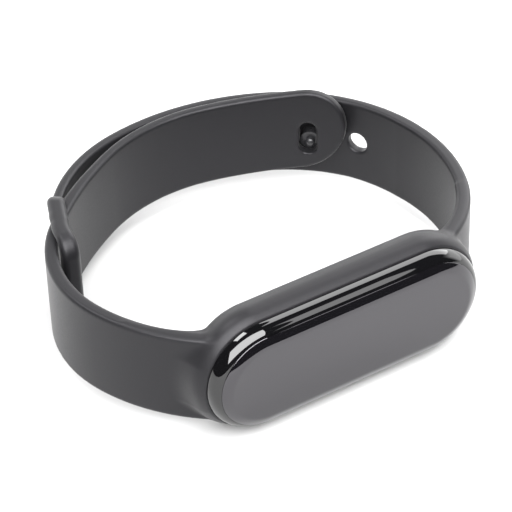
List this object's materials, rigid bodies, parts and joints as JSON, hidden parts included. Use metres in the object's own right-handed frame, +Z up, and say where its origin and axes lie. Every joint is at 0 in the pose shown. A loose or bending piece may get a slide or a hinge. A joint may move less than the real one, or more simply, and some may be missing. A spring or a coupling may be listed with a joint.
{
  "type": "fitness tracker band",
  "caption": "Fitness tracker band: a pill-shaped glossy capsule in a soft black strap, closed by a slotted loop and a snap stud, lying on its side.",
  "frame": {"origin": "under the middle of the object's footprint, on the plane it rests on", "axes": "+X to the right along the capsule, +Y from the glass to the back of the band, +Z up across the strap's width"},
  "size_m": [0.0674, 0.058, 0.0204],
  "materials": {
    "strap_elastomer": "matte soft-touch",
    "black_moulding": "satin",
    "glossy_shell": "high gloss",
    "cover_glass": "polished, black behind",
    "black_adhesive": "matte",
    "display": "gloss",
    "circuit_board": "solder mask",
    "chip": "matte",
    "battery_foil": "foil",
    "steel": "plain",
    "seal_rubber": "matte",
    "led": "clear",
    "gold_contact": "gold plated",
    "flex_cable": "film"
  },
  "bodies": {
    "strap": {"carrier_ring": "strap_elastomer", "retaining_bead": "strap_elastomer", "hole_arm": "strap_elastomer", "hole_rim": "strap_elastomer", "stud_arm": "strap_elastomer"},
    "tail": {"strap_tail": "strap_elastomer", "stud": "black_moulding"},
    "module": {"capsule_housing": "glossy_shell", "cover_glass": "cover_glass", "glass_adhesive": "black_adhesive", "display_panel": "display", "touch_sensor_film": "display", "mid_frame": "black_moulding", "main_board": "circuit_board", "processor_chip": "chip", "flash_memory_chip": "chip", "motion_sensor_chip": "chip", "power_chip": "chip", "antenna": "steel", "battery_tape": "black_adhesive", "battery_cell": "battery_foil", "battery_protection_board": "circuit_board", "motor_can": "steel", "motor_cradle": "seal_rubber", "sensor_window": "glossy_shell", "sensor_board": "circuit_board", "light_baffle": "seal_rubber", "green_leds": "led", "photodiode": "chip", "charging_contacts": "gold_contact", "charger_magnets": "steel", "display_flex": "flex_cable", "sensor_flex": "flex_cable"},
    "rotor": {"motor_shaft": "steel", "motor_weight": "steel"}
  },
  "joints": [
    {"name": "capsule_release", "type": "slide", "parent": "strap", "child": "module", "axis": [0, -1, 0], "range_m": [0, 0.016], "deforming": ["retaining_bead"]},
    {"name": "tail_peel", "type": "hinge", "parent": "strap", "child": "tail", "pos_m": [0.00907, 0.02428, 0.0102], "axis": [0, 0, -1], "range_deg": [0, 35], "stiffness_Nm_per_rad": 0.019, "deforming": ["hole_rim"]},
    {"name": "motor_spin", "type": "hinge", "parent": "module", "child": "rotor", "pos_m": [-0.0005, -0.02294, 0.0102], "axis": [1, 0, 0], "continuous": true}
  ]
}
